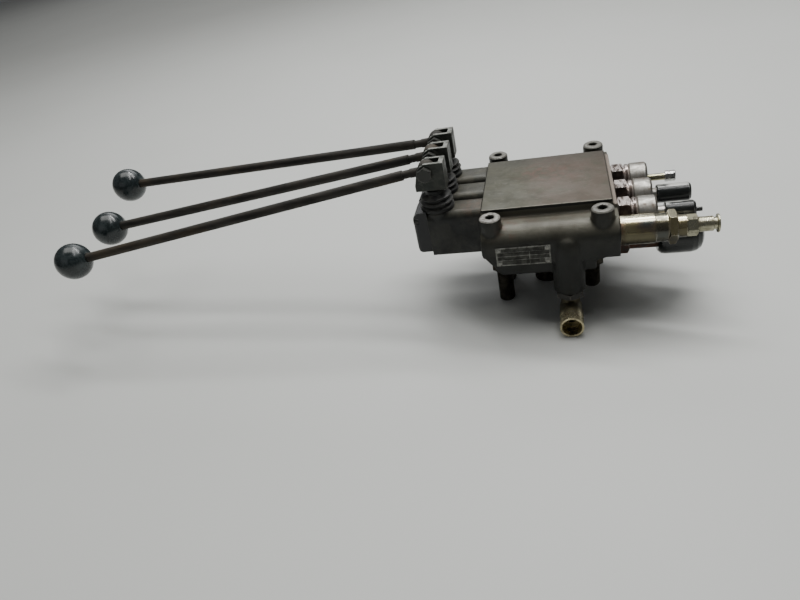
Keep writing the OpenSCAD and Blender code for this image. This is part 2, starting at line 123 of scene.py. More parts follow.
def add_floor():
    half = 6.0
    z = cad_low.z
    mesh = bpy.data.meshes.new("floor")
    corners = [(-half, -half, z), (half, -half, z), (half, half, z), (-half, half, z)]
    mesh.from_pydata(corners, [], [(0, 1, 2, 3)])
    floor = bpy.data.objects.new("floor", mesh)
    bpy.context.scene.collection.objects.link(floor)
    paint = Finish("floor_paint", {"Roughness": 0.55})
    cloud = paint.noise(0.4, detail=2)
    mesh.materials.append(paint.done(paint.mix(cloud, (0.56, 0.57, 0.55), (0.61, 0.62, 0.60)), 0.55))


# ---------------------------------------------------------------- material nodes


class Finish:
    """A Principled material whose colour, roughness and bump come from nodes placed on the object."""

    def __init__(self, name, fixed=None):
        self.material = bpy.data.materials.new(name)
        self.material.use_nodes = True
        self.nodes = self.material.node_tree.nodes
        self.links = self.material.node_tree.links
        self.shader = self.nodes["Principled BSDF"]
        self.put(self.shader, fixed or {})
        where = self.nodes.new("ShaderNodeTexCoord")
        self.place = where.outputs["Object"]
        self.facing = where.outputs["Normal"]
        self.normal = None

    def put(self, node, inputs):
        for socket, value in inputs.items():
            if isinstance(value, bpy.types.NodeSocket):
                self.links.new(value, node.inputs[socket])
            else:
                node.inputs[socket].default_value = value

    def add(self, kind, inputs=None, **settings):
        node = self.nodes.new("ShaderNode" + kind)
        for name, value in settings.items():
            setattr(node, name, value)
        self.put(node, inputs or {})
        return node

    def scaled(self, size, stretch, shift):
        scale = [1 / (size * s) for s in stretch]
        inputs = {"Vector": self.place, "Location": (shift, shift, shift), "Scale": scale}
        return self.add("Mapping", inputs).outputs[0]

    def noise(self, size, detail=4, rough=0.6, stretch=(1, 1, 1), shift=0.0):
        """Cloudy noise with blotches about size metres across."""
        spot = self.scaled(size, stretch, shift)
        inputs = {"Vector": spot, "Scale": 1.0, "Detail": detail, "Roughness": rough}
        return self.add("TexNoise", inputs).outputs[0]

    def cells(self, size, stretch=(1, 1, 1), shift=0.0):
        """Distance to the nearest of scattered points about size metres apart."""
        spot = self.scaled(size, stretch, shift)
        return self.add("TexVoronoi", {"Vector": spot, "Scale": 1.0}).outputs["Distance"]

    def ramp(self, value, low, high):
        """0 below low, 1 above high and smooth between; low may be the larger."""
        inputs = {"Value": value, "From Min": low, "From Max": high}
        return self.add("MapRange", inputs, interpolation_type="SMOOTHSTEP").outputs[0]

    def mix(self, share, a, b):
        """Colour a where share is 0, colour b where it is 1."""
        node = self.nodes.new("ShaderNodeMix")
        node.data_type = "RGBA"
        sockets = {0: share, 6: a, 7: b}
        for index, value in sockets.items():
            if isinstance(value, bpy.types.NodeSocket):
                self.links.new(value, node.inputs[index])
            elif index:
                node.inputs[index].default_value = (*value, 1)
            else:
                node.inputs[index].default_value = value
        return node.outputs[2]

    def math(self, operation, a, b=0.0):
        return self.add("Math", {0: a, 1: b}, operation=operation).outputs[0]

    def both(self, a, b):
        return self.math("MULTIPLY", a, b)

    def either(self, a, b):
        return self.math("MAXIMUM", a, b)

    def part_of(self, vector, axis):
        return self.add("SeparateXYZ", {0: vector}).outputs["XYZ".index(axis)]

    def along(self, axis, low, high):
        """0 to 1 as the place on that axis goes from low to high."""
        return self.ramp(self.part_of(self.place, axis), low, high)

    def faces(self, axis, low=0.6, high=0.9):
        """1 on faces that look along +axis of the piece."""
        return self.ramp(self.part_of(self.facing, axis), low, high)

    def near(self, centre, inner, outer):
        """1 within inner metres of a point, 0 beyond outer."""
        away = self.add("VectorMath", {0: self.place, 1: centre}, operation="DISTANCE").outputs["Value"]
        return self.ramp(away, outer, inner)

    def edges(self, radius, reach=0.04):
        """1 on edges that have been rubbed bright, from how much a rounded edge would turn the surface."""
        rounded = self.add("Bevel", {"Radius": radius}, samples=5).outputs[0]
        flat = self.add("NewGeometry").outputs["Normal"]
        same = self.add("VectorMath", {0: rounded, 1: flat}, operation="DOT_PRODUCT").outputs["Value"]
        return self.ramp(same, 1 - reach / 8, 1 - reach)

    def crests(self, low=0.52, high=0.6):
        """1 on the outward curves of a finely meshed skin."""
        return self.ramp(self.add("NewGeometry").outputs["Pointiness"], low, high)

    def hollows(self, low=0.49, high=0.43):
        """1 in the inward corners of a finely meshed skin."""
        return self.ramp(self.add("NewGeometry").outputs["Pointiness"], low, high)

    def rough_up(self, height, depth, strength=1.0):
        """Adds a bump whose full height is depth metres."""
        inputs = {"Height": height, "Distance": depth, "Strength": strength}
        if self.normal is not None:
            inputs["Normal"] = self.normal
        self.normal = self.add("Bump", inputs).outputs[0]

    def soften(self, radius):
        """Catches light on edges as if they had a small radius."""
        self.normal = self.add("Bevel", {"Radius": radius}, samples=5).outputs[0]

    def done(self, colour, roughness):
        self.put(self.shader, {"Base Color": colour, "Roughness": roughness})
        if self.normal is not None:
            self.put(self.shader, {"Normal": self.normal})
        return self.material


def between(finish, share, low, high):
    """A number that goes from low to high with share."""
    return finish.add("MapRange", {"Value": share, "To Min": low, "To Max": high}).outputs[0]


# ---------------------------------------------------------------- materials


def cast_iron():
    """Oily cast iron, lighter on top from dust and painted light from above, darker towards the bottom in
    painted shade, with a worn, rust-stained machined pad and rubbed boss faces.
    """
    oily = {"Coat Weight": 0.12, "Coat Roughness": 0.3, "Specular IOR Level": 0.35}
    f = Finish("cast_iron", {"Metallic": 0.2, **oily})
    blotch = f.ramp(f.noise(0.028, detail=6), 0.38, 0.62)
    # Up-facing faces get a lighter tone: partly dust, partly painted light from above; the sides keep the
    # darker tone.
    upward = f.both(f.faces("Z", 0.1, 0.9), f.along("Z", -0.027, -0.017))
    side_tone = f.mix(blotch, (0.014, 0.0148, 0.0118), (0.029, 0.0285, 0.022))
    dust_and_painted_light_top_tone = f.mix(blotch, (0.080, 0.075, 0.055), (0.120, 0.114, 0.088))
    iron = f.mix(upward, side_tone, dust_and_painted_light_top_tone)
    # Painted shade: the lower body is darkened to near black towards the bottom, as if in shadow.
    iron = f.mix(f.both(f.along("Z", -0.022, -0.042), 0.85), iron, (0.010, 0.011, 0.009))
    rust_spots = f.both(f.ramp(f.noise(0.02, detail=7, shift=3.1), 0.52, 0.66), upward)
    iron = f.mix(f.both(rust_spots, 0.4), iron, (0.105, 0.072, 0.052))
    beside_boss = f.near((-0.035, -0.075, -0.012), 0.004, 0.016)
    near_boss = f.both(beside_boss, f.ramp(f.noise(0.006, detail=6), 0.45, 0.62))
    iron = f.mix(f.both(near_boss, 0.5), iron, (0.13, 0.078, 0.055))
    worn = f.both(f.crests(), f.ramp(f.noise(0.012, detail=6, shift=8.0), 0.42, 0.58))
    iron = f.mix(f.both(worn, f.both(upward, 0.6)), iron, (0.24, 0.23, 0.20))
    iron = f.mix(f.both(f.hollows(), 0.7), iron, (0.012, 0.012, 0.011))

    across = f.math("ABSOLUTE", f.part_of(f.place, "Y"))
    beside_pad = f.ramp(across, 0.0590, 0.0580)
    # Painted light: the face beside the pad, below its edge, is lightened as if lit from the front.
    painted_light_pad_side = f.both(beside_pad, f.along("Z", -0.0100, -0.0092))
    iron = f.mix(painted_light_pad_side, iron, (0.085, 0.082, 0.062))
    # Painted shadow: a dark band just under the pad's edge.
    painted_shadow_under_pad_edge = f.both(beside_pad, f.along("Z", -0.0046, -0.0034))
    iron = f.mix(painted_shadow_under_pad_edge, iron, (0.014, 0.013, 0.010))
    past_pad = f.both(f.along("X", 0.0596, 0.0602), upward)
    ledge = f.both(past_pad, f.both(beside_pad, f.along("Z", -0.0095, -0.0075)))
    iron = f.mix(f.both(ledge, 0.9), iron, (0.30, 0.25, 0.21))

    level = f.faces("Z", 0.97, 0.995)
    pad = f.both(level, f.along("Z", -0.0022, -0.0016))
    colour = f.mix(pad, iron, pad_colour(f))
    boss = f.along("Z", -0.0014, -0.0010)
    rubbed = f.near((-BOSS_X, -BOSS_Y, 0), 0.02, 0.03)
    boss_tone = f.mix(rubbed, (0.17, 0.167, 0.148), (0.31, 0.30, 0.275))
    dirt = f.ramp(f.noise(0.0035, detail=6, rough=0.7), 0.48, 0.62)
    boss_tone = f.mix(dirt, boss_tone, (0.12, 0.11, 0.095))
    colour = f.mix(boss, colour, boss_tone)

    machined = f.either(pad, boss)
    grain = f.noise(0.0011, detail=5, rough=0.75)
    f.rough_up(f.both(grain, f.math("SUBTRACT", 1.0, machined)), 0.00045)
    f.rough_up(f.noise(0.006, detail=3, shift=2.0), 0.0005, 0.6)
    oil = f.ramp(f.noise(0.03, detail=4, shift=6.0), 0.35, 0.65)
    rough = between(f, f.math("SUBTRACT", 1.0, oil), 0.34, 0.58)
    return f.done(colour, f.math("ADD", rough, f.both(pad, 0.12)))


def pad_colour(f):
    """Olive grey at the lever end, brown with thin rust from the middle on, darker at the back."""
    cloud = f.ramp(f.noise(0.030, detail=6, rough=0.65, shift=5.0), 0.35, 0.65)
    tone = f.mix(cloud, (0.050, 0.049, 0.031), (0.080, 0.077, 0.052))
    brown = f.both(f.along("X", -0.030, 0.004), f.ramp(f.noise(0.018, detail=8, rough=0.7), 0.30, 0.56))
    tone = f.mix(f.both(brown, 0.85), tone, (0.096, 0.073, 0.056))
    middle = f.near((0.004, 0.018, 0), 0.01, 0.045)
    rust = f.both(middle, f.ramp(f.noise(0.009, detail=8, rough=0.75, shift=2.4), 0.46, 0.62))
    tone = f.mix(f.both(rust, 0.65), tone, (0.128, 0.070, 0.055))
    tone = f.mix(f.both(f.along("Y", 0.022, 0.056), 0.4), tone, (0.056, 0.055, 0.049))
    pale = f.ramp(f.noise(0.0045, detail=7, rough=0.8, shift=7.7), 0.54, 0.68)
    tone = f.mix(f.both(pale, 0.35), tone, (0.18, 0.168, 0.140))
    scratch = f.ramp(f.noise(0.0016, detail=3, stretch=(12, 0.6, 1), shift=1.7), 0.60, 0.70)
    tone = f.mix(f.both(scratch, 0.3), tone, (0.22, 0.21, 0.18))
    specks = f.ramp(f.noise(0.0025, detail=4, shift=9.2), 0.66, 0.72)
    tone = f.mix(f.both(specks, 0.7), tone, (0.045, 0.042, 0.035))
    front_edge = f.along("Y", -0.0538, -0.0545)
    rubbed_edge = f.both(front_edge, f.ramp(f.noise(0.006, detail=5, shift=1.2), 0.32, 0.5))
    return f.mix(f.both(rubbed_edge, 0.8), tone, (0.34, 0.32, 0.25))


def lever_box_iron():
    """Oil-soaked cast iron, lighter and rustier on top near the block."""
    oily = {"Coat Weight": 0.15, "Coat Roughness": 0.3, "Specular IOR Level": 0.35}
    f = Finish("lever_box_iron", {"Metallic": 0.2, **oily})
    blotch = f.ramp(f.noise(0.016, detail=6, shift=2.0), 0.4, 0.6)
    tone = f.mix(blotch, (0.012, 0.013, 0.012), (0.028, 0.028, 0.023))
    top = f.faces("Z", 0.15, 0.8)
    tone = f.mix(f.both(top, 0.8), tone, f.mix(blotch, (0.042, 0.041, 0.028), (0.076, 0.071, 0.050)))
    by_block = f.near((-0.067, -0.040, -0.004), 0.004, 0.020)
    rust = f.both(by_block, f.ramp(f.noise(0.006, detail=6), 0.40, 0.62))
    tone = f.mix(f.both(rust, 0.55), tone, (0.120, 0.072, 0.048))
    tone = f.mix(f.both(f.crests(), f.both(top, 0.35)), tone, (0.15, 0.145, 0.12))
    tone = f.mix(f.both(f.hollows(), 0.8), tone, (0.010, 0.010, 0.009))
    f.rough_up(f.noise(0.0010, detail=5, rough=0.75), 0.0004)
    f.rough_up(f.noise(0.005, detail=3, shift=4.0), 0.0005, 0.6)
    return f.done(tone, between(f, f.ramp(f.noise(0.02, shift=7.0), 0.35, 0.65), 0.32, 0.6))


def painted_black(name, tone, bare, gloss, rubbed=0.0):
    """Black paint or oxide, chipped to a lighter metal on the edges, with a painted highlight along the top
    as strong as rubbed.
    """
    f = Finish(name, {"Coat Weight": 0.2, "Coat Roughness": 0.15, "Metallic": 0.1, "Specular IOR Level": 0.4})
    f.soften(0.0005)
    chips = f.both(f.edges(0.0008), f.ramp(f.noise(0.004, detail=6), 0.42, 0.6))
    dust = f.both(f.faces("Z", 0.2, 1.0), f.ramp(f.noise(0.01, detail=6, shift=3.0), 0.45, 0.7))
    colour = f.mix(f.both(dust, 0.4), tone, [c + 0.03 for c in tone])
    colour = f.mix(chips, colour, bare)
    # Painted highlight: a light streak along the up-facing top, as strong as rubbed.
    streak = f.both(f.faces("Z", 0.92, 0.985), f.ramp(f.noise(0.006, detail=4, stretch=(4, 1, 1)), 0.36, 0.5))
    colour = f.mix(f.both(streak, rubbed), colour, (0.66, 0.66, 0.62))
    f.rough_up(f.noise(0.0014, detail=4, rough=0.7), 0.00018)
    return f.done(colour, between(f, f.noise(0.008, detail=4), gloss - 0.1, gloss + 0.12))


def forged_steel():
    """Dark green-grey forging, rubbed light along its top and edges."""
    f = Finish("fork_steel", {"Metallic": 0.3, "Specular IOR Level": 0.35})
    blotch = f.ramp(f.noise(0.008, detail=6), 0.38, 0.62)
    tone = f.mix(blotch, (0.026, 0.030, 0.026), (0.058, 0.061, 0.053))
    dust = f.both(f.ramp(f.noise(0.005, detail=7, rough=0.7, shift=1.0), 0.5, 0.66), f.along("Z", 0.0, 0.03))
    tone = f.mix(f.both(dust, 0.45), tone, (0.09, 0.09, 0.08))
    rubbed_top = f.both(f.faces("Z", 0.7, 0.95), f.ramp(f.noise(0.006), 0.3, 0.6))
    rubbed = f.either(f.crests(0.515, 0.57), rubbed_top)
    tone = f.mix(f.both(rubbed, 0.85), tone, (0.27, 0.275, 0.25))
    tone = f.mix(f.both(f.hollows(), 0.7), tone, (0.010, 0.011, 0.010))
    f.rough_up(f.noise(0.0012, detail=5, rough=0.7), 0.0003)
    return f.done(tone, between(f, blotch, 0.36, 0.58))


def rod_steel():
    """Mill-scaled rod, brown-black, with rubbed and rusty stretches."""
    f = Finish("rod_steel", {"Metallic": 0.3, "Specular IOR Level": 0.35})
    streak = f.noise(0.007, detail=6, stretch=(7, 1, 1))
    tone = f.mix(f.ramp(streak, 0.35, 0.65), (0.016, 0.015, 0.013), (0.040, 0.036, 0.030))
    brown = f.ramp(f.noise(0.03, detail=5, stretch=(2.5, 1, 1), shift=4.0), 0.52, 0.66)
    tone = f.mix(f.both(brown, 0.5), tone, (0.075, 0.055, 0.034))
    worn = f.ramp(f.noise(0.003, detail=6, stretch=(6, 1, 1), shift=2.0), 0.60, 0.70)
    bare = f.both(worn, f.faces("Z", 0.1, 0.9))
    tone = f.mix(f.both(bare, 0.3), tone, (0.11, 0.10, 0.085))
    f.rough_up(f.noise(0.0016, detail=5, rough=0.7, stretch=(3, 1, 1)), 0.00010)
    return f.done(tone, between(f, f.ramp(streak, 0.3, 0.7), 0.72, 0.58))


def knob_plastic():
    """Black phenolic ball, glossy, with a film of dust and fine scratches."""
    f = Finish("knob_plastic", {"Coat Weight": 0.35, "Coat Roughness": 0.2, "Specular IOR Level": 0.4})
    film = f.ramp(f.noise(0.012, detail=6, rough=0.7), 0.42, 0.7)
    tone = f.mix(film, (0.012, 0.018, 0.019), (0.034, 0.045, 0.047))
    dust = f.both(f.faces("Z", 0.0, 1.0), f.ramp(f.noise(0.004, detail=7, rough=0.75, shift=2.0), 0.5, 0.72))
    tone = f.mix(f.both(dust, 0.25), tone, (0.055, 0.065, 0.068))
    scratch = f.ramp(f.noise(0.0012, detail=2, stretch=(1, 9, 3), shift=5.0), 0.66, 0.74)
    f.rough_up(scratch, 0.00003, 0.4)
    f.rough_up(f.noise(0.01, detail=2), 0.0003, 0.25)
    return f.done(tone, between(f, film, 0.22, 0.42))


def rubber(name, tone, dusty):
    """Black rubber with grey-brown dust on its crests."""
    f = Finish(name, {"Specular IOR Level": 0.35, "Sheen Weight": 0.1, "Sheen Roughness": 0.5})
    dust = f.ramp(f.noise(0.007, detail=7, rough=0.7), 0.42, 0.66)
    crest = f.either(f.crests(0.51, 0.58), f.both(f.faces("Z", 0.1, 0.9), 0.5))
    colour = f.mix(f.both(dust, f.both(crest, 0.8)), tone, dusty)
    f.rough_up(f.noise(0.0009, detail=4, rough=0.7), 0.00015)
    f.rough_up(f.cells(0.0025), 0.00008, 0.5)
    return f.done(colour, between(f, dust, 0.45, 0.72))


def bright_metal(name, light, dark, smudge, gloss, film=0.6):
    """Bare or plated metal: mottled tone, brown smudges, turning marks and softened edges."""
    f = Finish(name, {"Metallic": 0.92})
    f.soften(0.0004)
    mottle = f.ramp(f.noise(0.007, detail=6, rough=0.65), 0.36, 0.64)
    colour = f.mix(mottle, dark, light)
    grime = f.ramp(f.noise(0.011, detail=7, rough=0.7, shift=5.0), 0.50, 0.66)
    colour = f.mix(f.both(grime, film), colour, smudge)
    turned = f.noise(0.0009, detail=2, stretch=(0.25, 6, 6), shift=3.0)
    f.rough_up(turned, 0.00002, 0.4)
    f.rough_up(f.noise(0.003, detail=3, shift=1.0), 0.00002, 0.5)
    return f.done(colour, between(f, f.either(grime, f.math("SUBTRACT", 1.0, mottle)), gloss, gloss + 0.25))


def collar_steel():
    """Brown-black hexagon collars, with painted highlights on the top flats, the chamfers and the round lip,
    and edges worn bright in patches.
    """
    f = Finish("collar_steel", {"Metallic": 0.8})
    f.soften(0.0004)
    blotch = f.ramp(f.noise(0.006, detail=6), 0.38, 0.62)
    colour = f.mix(blotch, (0.030, 0.021, 0.018), (0.070, 0.050, 0.040))
    # Painted highlight on the chamfers and the round lip, the faces that slope along X.
    slope = f.math("ABSOLUTE", f.part_of(f.facing, "X"))
    chamfer = f.both(f.ramp(slope, 0.25, 0.4), f.ramp(slope, 0.98, 0.9))
    # Painted highlight on the top flats, broken into spots.
    painted_highlight_spots = f.noise(0.0035, detail=6, rough=0.7, stretch=(0.7, 3, 1), shift=3.3)
    top = f.both(f.faces("Z", 0.88, 0.985), f.ramp(painted_highlight_spots, 0.42, 0.58))
    worn_edges = f.both(f.edges(0.0007), f.ramp(f.noise(0.005), 0.42, 0.56))
    # The worn edges are real wear; the chamfer and top parts are painted highlights.
    wear_and_painted_highlight = f.either(f.both(chamfer, 0.9), f.either(top, worn_edges))
    colour = f.mix(f.both(wear_and_painted_highlight, 0.85), colour, (0.74, 0.66, 0.62))
    f.rough_up(f.noise(0.0016, detail=5), 0.00012)
    return f.done(colour, between(f, wear_and_painted_highlight, 0.45, 0.22))


def passivated_zinc():
    """Yellow passivated zinc, brown to blue-green in thick film, with a painted highlight along the top and
    painted shade on the sides.
    """
    f = Finish("relief_zinc", {"Metallic": 0.95})
    f.soften(0.0004)
    film = f.ramp(f.noise(0.024, detail=2, stretch=(1.2, 1, 1), shift=3.6), 0.28, 0.80)
    hue = f.add("ValToRGB", {"Fac": film})
    stops = [(0.0, (0.52, 0.46, 0.27)), (0.45, (0.43, 0.37, 0.21)), (0.66, (0.29, 0.24, 0.19)),
             (0.84, (0.17, 0.185, 0.175)), (1.0, (0.20, 0.215, 0.15))]
    ramp = hue.color_ramp
    for place, colour in stops[1:-1]:
        ramp.elements.new(place)
    for element, (place, colour) in zip(ramp.elements, stops):
        element.position = place
        element.color = (*colour, 1)
    tone = hue.outputs[0]
    grime = f.ramp(f.noise(0.010, detail=7, rough=0.7, shift=4.0), 0.56, 0.68)
    tone = f.mix(f.both(grime, 0.5), tone, (0.085, 0.070, 0.045))
    rusty_end = f.both(f.along("X", 0.071, 0.0645), f.ramp(f.noise(0.005), 0.35, 0.55))
    tone = f.mix(f.both(rusty_end, 0.85), tone, (0.16, 0.085, 0.062))
    # Painted shade: the sides between the top and the underside are darkened as if unlit.
    painted_shade_on_flanks = f.both(f.faces("Z", 0.42, 0.12), f.faces("Z", -0.86, -0.72))
    tone = f.mix(f.both(painted_shade_on_flanks, 0.85), tone, (0.052, 0.050, 0.036))
    rubbed = f.both(f.edges(0.0007), 0.7)
    tone = f.mix(rubbed, tone, (0.58, 0.53, 0.42))
    # Painted highlight: a light line along the up-facing top of the turned parts.
    tone = f.mix(f.both(f.faces("Z", 0.80, 0.95), 0.85), tone, (0.80, 0.75, 0.56))
    heated = f.both(f.along("X", 0.0925, 0.0945), f.along("X", 0.1045, 0.1035))
    tone = f.mix(f.both(heated, 0.6), tone, (0.085, 0.090, 0.085))
    f.rough_up(f.noise(0.0009, detail=2, stretch=(0.25, 6, 6)), 0.00001, 0.3)
    f.rough_up(f.noise(0.006, detail=2, shift=1.0), 0.00002, 0.4)
    return f.done(tone, between(f, f.either(grime, rusty_end), 0.22, 0.45))


def stained_elbow():
    """Yellow zinc at the open end, black with oil towards the nut, inside and out."""
    f = Finish("elbow_zinc", {"Metallic": 0.9})
    f.soften(0.0005)
    mottle = f.ramp(f.noise(0.006, detail=6, rough=0.65), 0.36, 0.64)
    tone = f.mix(mottle, (0.52, 0.46, 0.28), (0.82, 0.74, 0.49))
    stain = f.ramp(f.noise(0.008, detail=7, rough=0.7, shift=5.0), 0.50, 0.62)
    tone = f.mix(f.both(stain, 0.6), tone, (0.14, 0.115, 0.075))
    oily = f.both(f.along("Y", -0.099, -0.089), f.ramp(f.noise(0.006, detail=5, shift=2.0), 0.2, 0.4))
    tone = f.mix(f.both(oily, 0.85), tone, (0.035, 0.031, 0.022))
    f.rough_up(f.noise(0.002, detail=4, shift=1.0), 0.00004, 0.5)
    return f.done(tone, between(f, f.either(stain, oily), 0.26, 0.5))


def tail_metal():
    """Yellow zinc rod; beyond its shoulder the rear one's head is brighter steel."""
    f = Finish("tail_steel", {"Metallic": 0.95})
    f.soften(0.0003)
    mottle = f.ramp(f.noise(0.005, detail=5), 0.36, 0.64)
    tone = f.mix(mottle, (0.30, 0.285, 0.18), (0.50, 0.475, 0.32))
    tone = f.mix(f.along("X", 0.1164, 0.1172), tone, f.mix(mottle, (0.38, 0.38, 0.37), (0.66, 0.66, 0.64)))
    grime = f.ramp(f.noise(0.006, detail=7, rough=0.7, shift=5.0), 0.54, 0.66)
    tone = f.mix(f.both(grime, 0.5), tone, (0.10, 0.085, 0.06))
    return f.done(tone, between(f, grime, 0.16, 0.42))


def rusty_steel():
    """Red-brown rust over dark steel, bare on the corners."""
    f = Finish("cartridge_rust", {"Metallic": 0.3})
    f.soften(0.0004)
    rust = f.ramp(f.noise(0.006, detail=8, rough=0.75), 0.38, 0.6)
    colour = f.mix(rust, (0.028, 0.022, 0.018), (0.095, 0.045, 0.028))
    colour = f.mix(f.both(f.edges(0.0007), f.ramp(f.noise(0.004), 0.45, 0.6)), colour, (0.34, 0.30, 0.25))
    f.rough_up(f.noise(0.0014, detail=6, rough=0.75), 0.0003)
    return f.done(colour, between(f, rust, 0.42, 0.8))


def plate_metal():
    """Old aluminium plate: grey on the raised lines, dark dirt in the fields."""
    f = Finish("plate_metal", {"Metallic": 0.6})
    deep = f.along("Y", -0.08572, -0.08552)
    wear = f.ramp(f.noise(0.006, detail=7, rough=0.7), 0.4, 0.62)
    raised = f.mix(wear, (0.08, 0.08, 0.072), (0.22, 0.22, 0.20))
    field = f.mix(wear, (0.026, 0.026, 0.022), (0.080, 0.080, 0.070))
    colour = f.mix(deep, raised, field)
    f.rough_up(f.noise(0.0012, detail=5), 0.00012)
    return f.done(colour, between(f, deep, 0.38, 0.6))


def make_materials():
    """One material for every slot of the record."""
    brown = (0.13, 0.10, 0.07)
    cap_tones = (0.39, 0.38, 0.35), (0.22, 0.21, 0.19), (0.14, 0.112, 0.088)
    fitting_tones = (0.085, 0.078, 0.060), (0.040, 0.036, 0.029), (0.016, 0.014, 0.011)
    zinc_tones = (0.50, 0.48, 0.36), (0.30, 0.285, 0.20), brown
    spring_tones = (0.36, 0.36, 0.36), (0.22, 0.22, 0.22), brown
    return {
        "cast_iron": cast_iron(),
        "lever_box_iron": lever_box_iron(),
        "fork_steel": forged_steel(),
        "rod_steel": rod_steel(),
        "knob_plastic": knob_plastic(),
        "collar_steel": collar_steel(),
        "relief_zinc": passivated_zinc(),
        "cartridge_rust": rusty_steel(),
        "plate_metal": plate_metal(),
        "boot_rubber": rubber("boot_rubber", (0.014, 0.015, 0.014), (0.13, 0.125, 0.105)),
        "seal_rubber": rubber("seal_rubber", (0.012, 0.012, 0.012), (0.03, 0.028, 0.025)),
        "black_cap": painted_black("black_cap", (0.008, 0.009, 0.010), (0.09, 0.09, 0.085), 0.42),
        # rubbed 0.9: the end covers get a painted highlight along their tops.
        "cover_black": painted_black("cover_black", (0.016, 0.018, 0.017), (0.30, 0.30, 0.28), 0.20, 0.9),
        "plug_steel": painted_black("plug_steel", (0.034, 0.032, 0.027), (0.20, 0.18, 0.15), 0.45),
        "screw_steel": painted_black("screw_steel", (0.026, 0.027, 0.023), (0.16, 0.155, 0.135), 0.42),
        "cap_aluminium": bright_metal("cap_aluminium", *cap_tones, 0.32, 0.85),
        "adjuster_zinc": bright_metal("adjuster_zinc", *zinc_tones, 0.2, 0.4),
        "elbow_zinc": stained_elbow(),
        "fitting_steel": bright_metal("fitting_steel", *fitting_tones, 0.34, 0.8),
        "tail_steel": tail_metal(),
        "washer_copper": bright_metal("washer_copper", (0.52, 0.27, 0.15), (0.33, 0.18, 0.11), brown, 0.35),
        "pin_steel": bright_metal("pin_steel", (0.45, 0.44, 0.42), (0.28, 0.27, 0.25), brown, 0.28),
        "spool_steel": bright_metal("spool_steel", (0.62, 0.62, 0.62), (0.48, 0.48, 0.48), brown, 0.14, 0.2),
        "spring_steel": bright_metal("spring_steel", *spring_tones, 0.26, 0.3),
        "rivet_metal": bright_metal("rivet_metal", (0.46, 0.46, 0.43), (0.28, 0.28, 0.26), brown, 0.34),
    }


def dress_frame(materials):
    """Every CAD node gets the material of its own slot."""
    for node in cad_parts.values():
        for slot in node.material_slots:
            slot.material = materials[slot.material.name]


# ---------------------------------------------------------------- meshes


def new_piece(name, vertices, faces, material, smooth=True):
    mesh = bpy.data.meshes.new(name)
    mesh.from_pydata([tuple(v) for v in vertices], [], faces)
    mesh.materials.append(material)
    piece = bpy.data.objects.new(name, mesh)
    bpy.context.scene.collection.objects.link(piece)
    mesh.polygons.foreach_set("use_smooth", [smooth] * len(mesh.polygons))
    mesh.validate()
    return piece


def apply_modifiers(piece):
    """Bakes the modifiers into the mesh."""
    evaluated = piece.evaluated_get(bpy.context.evaluated_depsgraph_get())
    mesh = bpy.data.meshes.new_from_object(evaluated)
    mesh.name = piece.name
    piece.modifiers.clear()
    piece.data = mesh


def places_of(mesh):
    places = np.zeros(len(mesh.vertices) * 3)
    mesh.vertices.foreach_get("co", places)
    return places.reshape(-1, 3)


def relax(mesh, freedom, passes):
    """Rounds edges and fills corners: each vertex moves towards its neighbours' middle, by its freedom."""
    places = places_of(mesh)
    ends = np.zeros(len(mesh.edges) * 2, int)
    mesh.edges.foreach_get("vertices", ends)
    a, b = ends.reshape(-1, 2).T
    count = len(places)
    neighbours = np.bincount(a, minlength=count) + np.bincount(b, minlength=count)
    share = 0.5 * freedom[:, None]
    for _ in range(passes):
        total = [np.bincount(a, places[b, k], count) + np.bincount(b, places[a, k], count) for k in range(3)]
        places += share * (np.stack(total, 1) / neighbours[:, None] - places)
    mesh.vertices.foreach_set("co", places.ravel())
    mesh.update()


def skin(node, name, voxel, passes, ratio, machined, body, slot, materials):
    """A rounded, finely meshed copy of a cast or forged CAD node, crisp where machined(places) says so."""
    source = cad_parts[node]
    piece = bpy.data.objects.new(name, source.data.copy())
    bpy.context.scene.collection.objects.link(piece)
    remesh = piece.modifiers.new("skin", "REMESH")
    remesh.mode = "VOXEL"
    remesh.voxel_size = voxel
    apply_modifiers(piece)
    relax(piece.data, 1.0 - machined(places_of(piece.data)), passes)
    if ratio < 1:
        thin = piece.modifiers.new("thin", "DECIMATE")
        thin.ratio = ratio
        apply_modifiers(piece)
    piece.data.materials.clear()
    piece.data.materials.append(materials[slot])
    piece.data.polygons.foreach_set("use_smooth", [True] * len(piece.data.polygons))
    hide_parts(node)
    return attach(piece, body)


def ring_mesh(rings, closed=True):
    """Vertices and faces through rings of equal point counts; the last ring joins the first when closed."""
    sides = len(rings[0])
    vertices = np.concatenate(rings)
    faces = []
    for r in range(len(rings) if closed else len(rings) - 1):
        here, there = r * sides, (r + 1) % len(rings) * sides
        for s in range(sides):
            n = (s + 1) % sides
            faces.append((here + s, here + n, there + n, there + s))
    return vertices, faces


def coil_mesh(length, mean_radius, wire, turns):
    """Round-wire coil along Z from 0 to length, with closed ends."""
    rings = []
    sides, steps = 12, 36
    round_wire = np.linspace(0, 2 * np.pi, sides, endpoint=False)
    for turn in np.linspace(0, turns, steps * turns + 1):
        radius = mean_radius + wire / 2 * np.cos(round_wire)
        height = wire / 2 + (length - wire) * turn / turns + wire / 2 * np.sin(round_wire)
        angle = 2 * np.pi * turn
        rings.append(np.stack([radius * np.cos(angle), radius * np.sin(angle), height], axis=1))
    vertices, faces = ring_mesh(rings, closed=False)
    faces.append(tuple(range(sides)))
    faces.append(tuple(reversed(range(len(vertices) - sides, len(vertices)))))
    return vertices, faces


